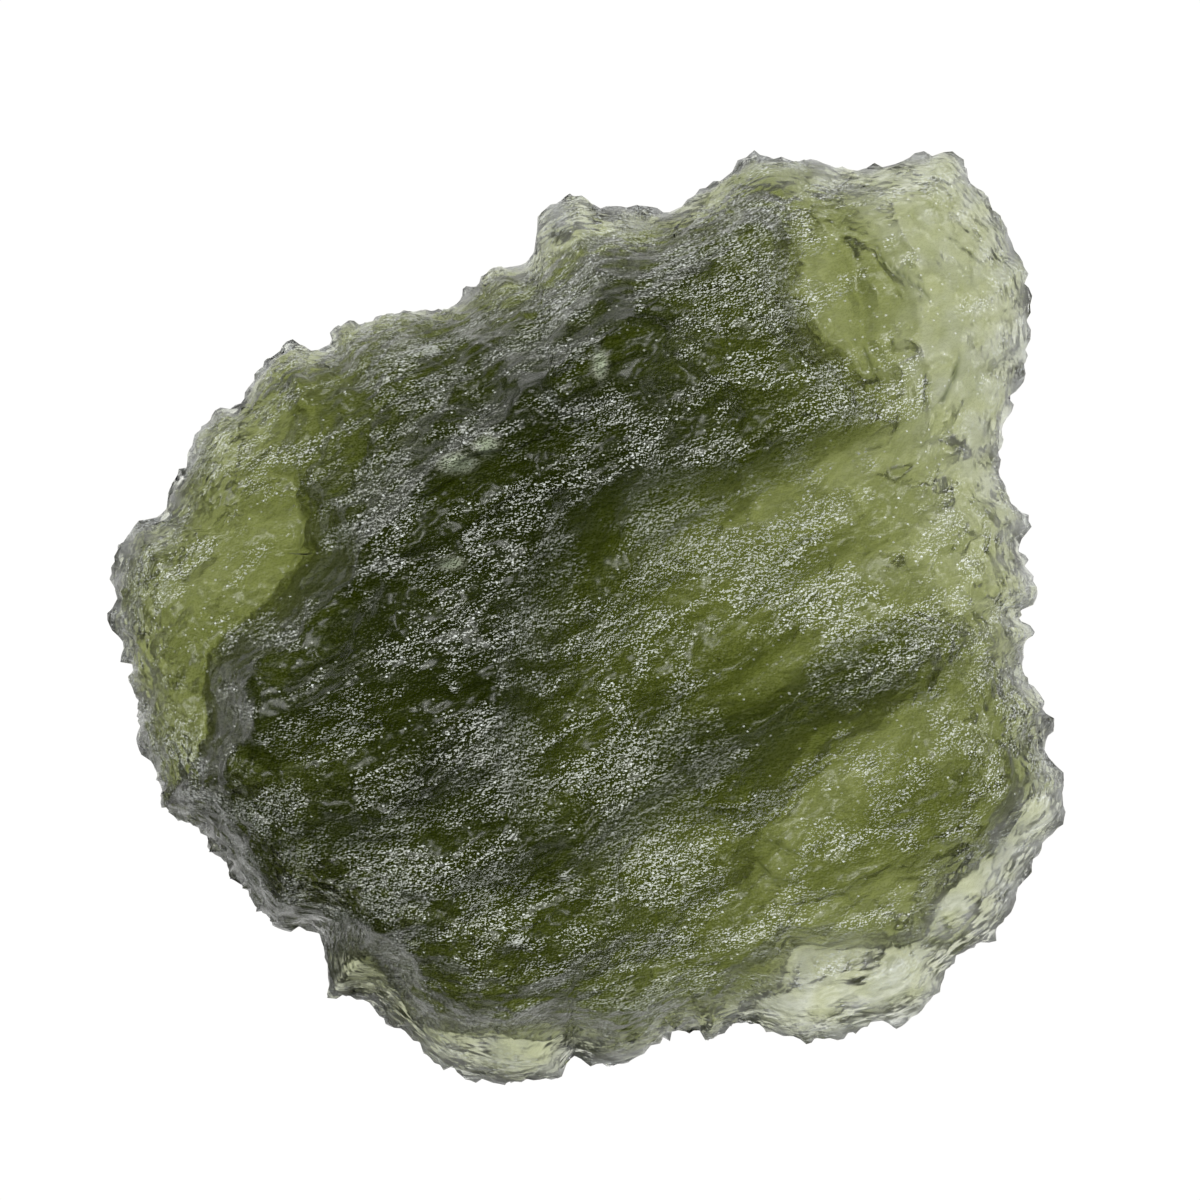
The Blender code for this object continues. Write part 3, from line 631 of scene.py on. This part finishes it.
def glint_frost_field(places, normals):
    """How densely each place is etched and strewn with painted glints, from 0 where the glass is smooth to
    1.
    """
    east = places[:, 0]
    north = places[:, 1]
    # More painted glints on slopes, in patches and in the zones.
    glint_frost = GLINT_FROST_EVERYWHERE + GLINT_FROST_ON_SLOPES * (1.0 - numpy.abs(normals[:, 2]))
    glint_frost += GLINT_FROST_PATCH[1] * grain(east, north, GLINT_FROST_PATCH[0], 71.9, GLINT_FROST_PATCH[2])
    glint_frost += GLINT_FROST_FRAY[1] * grain(east, north, GLINT_FROST_FRAY[0], 77.3, GLINT_FROST_FRAY[2])
    for zone_x, zone_y, reach, change in GLINT_FROST_ZONES:
        away = ((east - zone_x) ** 2 + (north - zone_y) ** 2) / reach ** 2
        glint_frost += change * numpy.exp(-away)
    return numpy.clip(glint_frost, 0.0, 1.0)


def thick_and_wall_shade_field(glass_below, normals):
    """How much painted darkening each place gets, from 0 on thin flat glass to 1 on thick glass or steep
    walls with painted shade.
    """
    thick = numpy.clip((glass_below - THIN_GLASS) / (THICK_GLASS - THIN_GLASS), 0.0, 1.0)
    steep = STEEP_WALL_SHADE * (1.0 - numpy.abs(normals[:, 2]))
    wall = numpy.clip(glass_below / THIN_GLASS - THINNEST_SHADED_WALL, 0.0, 1.0)
    return numpy.maximum(thick, steep * wall)


def pale_field(places, glass_below):
    """Strength of the pale veil on thin glass."""
    start, full = PALE_GLASS
    thin = numpy.clip((start - glass_below) / (start - full), 0.0, 1.0)
    mottle = 0.5 + PALE_MOTTLE[1] * grain(places[:, 0], places[:, 1], PALE_MOTTLE[0], 87.7)
    return PALE_VEIL * thin * numpy.clip(mottle, 0.0, 1.0)


def math_node(tree, operation, *values):
    """A math node whose inputs are numbers or the outputs of other nodes."""
    node = tree.nodes.new("ShaderNodeMath")
    node.operation = operation
    for socket, value in zip(node.inputs, values):
        if isinstance(value, bpy.types.NodeSocket):
            tree.links.new(value, socket)
        else:
            socket.default_value = value
    return node.outputs["Value"]


def ramp(tree, value, low, high, low_value=0.0, high_value=1.0):
    """A soft step of a value between two limits."""
    node = tree.nodes.new("ShaderNodeMapRange")
    node.interpolation_type = "SMOOTHSTEP"
    node.inputs["From Min"].default_value = low
    node.inputs["From Max"].default_value = high
    node.inputs["To Min"].default_value = low_value
    node.inputs["To Max"].default_value = high_value
    tree.links.new(value, node.inputs["Value"])
    return node.outputs["Result"]


def noise_node(tree, place, scale, detail=0.0):
    """Soft noise, from 0 to 1."""
    node = tree.nodes.new("ShaderNodeTexNoise")
    node.inputs["Scale"].default_value = scale
    node.inputs["Detail"].default_value = detail
    tree.links.new(place, node.inputs["Vector"])
    return node.outputs["Fac"]


def cell_texture(tree, place, scale):
    """Small cells, each with a random colour and the distance from its middle."""
    node = tree.nodes.new("ShaderNodeTexVoronoi")
    node.voronoi_dimensions = "2D"
    node.inputs["Scale"].default_value = scale
    tree.links.new(place, node.inputs["Vector"])
    return node


def cell_node(tree, place, scale):
    """Distance from the middle of the nearest small cell."""
    return cell_texture(tree, place, scale).outputs["Distance"]


def mixed(tree, first, second, share):
    """The first colour, replaced by the second one as the share grows from 0 to 1."""
    node = tree.nodes.new("ShaderNodeMix")
    node.data_type = "RGBA"
    for socket, colour in ((node.inputs["A"], first), (node.inputs["B"], second)):
        if isinstance(colour, bpy.types.NodeSocket):
            tree.links.new(colour, socket)
        else:
            socket.default_value = colour
    tree.links.new(share, node.inputs["Factor"])
    return node.outputs["Result"]


def attribute_node(tree, name, output="Fac"):
    """What is stored at each point of the mesh under a name."""
    node = tree.nodes.new("ShaderNodeAttribute")
    node.attribute_name = name
    return node.outputs[output]


def fine_marks(tree):
    """Places of the fine marks, and how far each one's surface tilts towards the light."""
    turn = tree.nodes.new("ShaderNodeMapping")
    turn.inputs["Rotation"].default_value = (0.0, 0.0, -FLOW_HEADING)
    turn.inputs["Scale"].default_value = (FLOW_SHARE, 1.0, 1.0)
    tree.links.new(attribute_node(tree, "marks", "Vector"), turn.inputs["Vector"])
    flow = turn.outputs["Vector"]
    shift = tree.nodes.new("ShaderNodeVectorMath")
    shift.operation = "ADD"
    shift.inputs[1].default_value = LIT_SHIFT
    tree.links.new(flow, shift.inputs[0])
    lit = shift.outputs["Vector"]
    tilt = 0.0
    for texture, (scale, share) in ((noise_node, FINE_GRAIN), (cell_node, PITS), (cell_node, SCALES)):
        slope = math_node(tree, "SUBTRACT", texture(tree, flow, scale), texture(tree, lit, scale))
        tilt = math_node(tree, "MULTIPLY_ADD", slope, share, tilt)
    return flow, tilt


def painted_glint_share(tree, flow, tilt):
    """Share of painted white at each place: painted glints on lit sides, single painted glints and the pale
    veil.
    """
    glint_frost = attribute_node(tree, "glint_frost")
    bead_glint = attribute_node(tree, "bead_glint")
    eager = math_node(tree, "MULTIPLY_ADD", glint_frost, PAINTED_GLINT_BIAS, tilt)
    # Beads get more painted glints.
    eager = math_node(tree, "MULTIPLY_ADD", bead_glint, BEAD_GLINT_BIAS, eager)
    dense = ramp(tree, math_node(tree, "ADD", glint_frost, bead_glint), *PAINTED_GLINT_DENSITY)
    # Painted glints: white flecks where the fine marks tilt towards the light.
    painted_glint = math_node(tree, "MULTIPLY", ramp(tree, eager, *PAINTED_GLINT_EDGE), dense)
    # Single painted glints: a bright white grain in some of the small cells.
    painted_sparkle_cells = cell_texture(tree, flow, PAINTED_SPARKLE_SCALE)
    chance = tree.nodes.new("ShaderNodeSeparateColor")
    tree.links.new(painted_sparkle_cells.outputs["Color"], chance.inputs["Color"])
    lucky = math_node(tree, "MULTIPLY_ADD", glint_frost, PAINTED_SPARKLE_BIAS, chance.outputs["Red"])
    near = ramp(tree, painted_sparkle_cells.outputs["Distance"], *PAINTED_SPARKLE_EDGE)
    painted_sparkle = math_node(tree, "MULTIPLY", near, ramp(tree, lucky, *PAINTED_SPARKLE_CHANCE))
    painted_glint = math_node(tree, "MAXIMUM", math_node(tree, "MULTIPLY", painted_glint, PAINTED_GLINT_SHARE), painted_sparkle)
    return math_node(tree, "MAXIMUM", painted_glint, attribute_node(tree, "pale"))


def shade_and_crack_share(tree, tilt, thick_and_wall_shade):
    """Share of dark at each place: painted shade on unlit sides and in pit floors, and cracks."""
    unlit = math_node(tree, "MULTIPLY_ADD", attribute_node(tree, "relief"), PIT_SHADE_SHARE, tilt)
    shade_and_crack_dark = ramp(tree, unlit, *PAINTED_SHADE_EDGE)
    shade_and_crack_dark = math_node(tree, "MULTIPLY", shade_and_crack_dark, ramp(tree, thick_and_wall_shade, *PAINTED_SHADE_BY_DEPTH))
    return math_node(tree, "MAXIMUM", shade_and_crack_dark, attribute_node(tree, "crack"))


def fade_through_glass(material):
    """Green light passes through more glass than red, and red than blue."""
    tree = material.node_tree
    absorb = tree.nodes.new("ShaderNodeVolumeAbsorption")
    density = max(FADE) * FADE_HEADROOM
    absorb.inputs["Color"].default_value = tuple(1.0 - fade / density for fade in FADE) + (1.0,)
    absorb.inputs["Density"].default_value = density
    tree.links.new(absorb.outputs["Volume"], tree.nodes["Material Output"].inputs["Volume"])


def glass():
    """Etched green glass: clear where thin, dark where thick and partly painted darker there, with painted
    shade on unlit sides and steep walls and fine white painted glints.
    """
    material = bpy.data.materials.new("etched green glass")
    material.use_nodes = True
    tree = material.node_tree
    shader = tree.nodes["Principled BSDF"]
    shader.inputs["Roughness"].default_value = BODY_ROUGHNESS
    shader.inputs["IOR"].default_value = GLASS_IOR
    shader.inputs["Specular Tint"].default_value = SPECULAR_TINT
    fade_through_glass(material)

    flow, tilt = fine_marks(tree)
    painted_glint = painted_glint_share(tree, flow, tilt)
    thick_and_wall_shade = attribute_node(tree, "thick_and_wall_shade")
    shade_and_crack_dark = shade_and_crack_share(tree, tilt, thick_and_wall_shade)
    # Milky chips, whiter on the side of the fine marks that tilts towards the light.
    milky_lit_chip = math_node(tree, "MULTIPLY", attribute_node(tree, "milky_lit_chip"), ramp(tree, tilt, *MILKY_LIT_CHIP_GRAIN))
    # Painted darkening of thick glass and shade on steep walls, then painted shade on unlit sides and
    # cracks, painted white glints and milky chips with painted lit edges.
    colour = mixed(tree, CLEAR, THICK_AND_WALL_SHADE_TINT, thick_and_wall_shade)
    colour = mixed(tree, colour, SHADE_AND_CRACK_TINT, shade_and_crack_dark)
    colour = mixed(tree, colour, PAINTED_GLINT_WHITE, painted_glint)
    colour = mixed(tree, colour, MILKY_LIT_CHIP_COLOUR, milky_lit_chip)
    tree.links.new(colour, shader.inputs["Base Color"])
    # Painted glints and milky chips let less light through.
    white = math_node(tree, "MAXIMUM", painted_glint, milky_lit_chip)
    clear = math_node(tree, "MULTIPLY_ADD", white, -WHITE_BLOCKS, 1.0)
    tree.links.new(clear, shader.inputs["Transmission Weight"])

    bump = tree.nodes.new("ShaderNodeBump")
    bump.inputs["Strength"].default_value = 1.0
    bump.inputs["Distance"].default_value = STREAK_DEPTH
    tree.links.new(noise_node(tree, flow, STREAK_SCALE, STREAK_OCTAVES), bump.inputs["Height"])
    tree.links.new(bump.outputs["Normal"], shader.inputs["Normal"])
    return material


def add_stone():
    stone = bpy.data.objects.new(NAME, make_stone())
    bpy.context.scene.collection.objects.link(stone)
    stone.data.materials.append(glass())
    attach(stone, "root")
    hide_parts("stone")


def add_floor():
    bpy.ops.mesh.primitive_plane_add(size=FLOOR_SIZE, location=(0.0, 0.0, FLOOR_HEIGHT))
    floor = bpy.context.object
    floor.name = "floor"
    material = bpy.data.materials.new("pale lit floor")
    material.use_nodes = True
    tree = material.node_tree
    glow = tree.nodes.new("ShaderNodeEmission")
    glow.inputs["Color"].default_value = FLOOR_COLOUR
    glow.inputs["Strength"].default_value = FLOOR_GLOW
    tree.nodes.remove(tree.nodes["Principled BSDF"])
    tree.links.new(glow.outputs["Emission"], tree.nodes["Material Output"].inputs["Surface"])
    floor.data.materials.append(material)


def add_area_light(name, place, size, power):
    light = bpy.data.lights.new(name, "AREA")
    light.shape = "SQUARE"
    light.size = size
    light.energy = power
    lamp = bpy.data.objects.new(name, light)
    lamp.location = place
    lamp.rotation_euler = Vector(place).to_track_quat("Z", "Y").to_euler()
    bpy.context.scene.collection.objects.link(lamp)


def add_lights():
    world = bpy.data.worlds.new("studio")
    bpy.context.scene.world = world
    world.use_nodes = True
    background = world.node_tree.nodes["Background"]
    background.inputs["Color"].default_value = (1.0, 1.0, 1.0, 1.0)
    background.inputs["Strength"].default_value = STUDIO_GLOW
    for name, place, size, power in LIGHTS:
        add_area_light(name, place, size, power)


def add_camera():
    camera = bpy.data.cameras.new("camera")
    camera.sensor_width = SENSOR_WIDTH
    camera.lens = SENSOR_WIDTH * CAMERA_PLACE[2] / (PHOTO_PIXELS * PIXEL_SIZE)
    camera.clip_start = 0.01
    holder = bpy.data.objects.new("camera", camera)
    holder.location = CAMERA_PLACE
    bpy.context.scene.collection.objects.link(holder)
    bpy.context.scene.camera = holder


add_stone()
add_floor()
add_lights()
add_camera()
bpy.context.scene.view_settings.view_transform = "Standard"
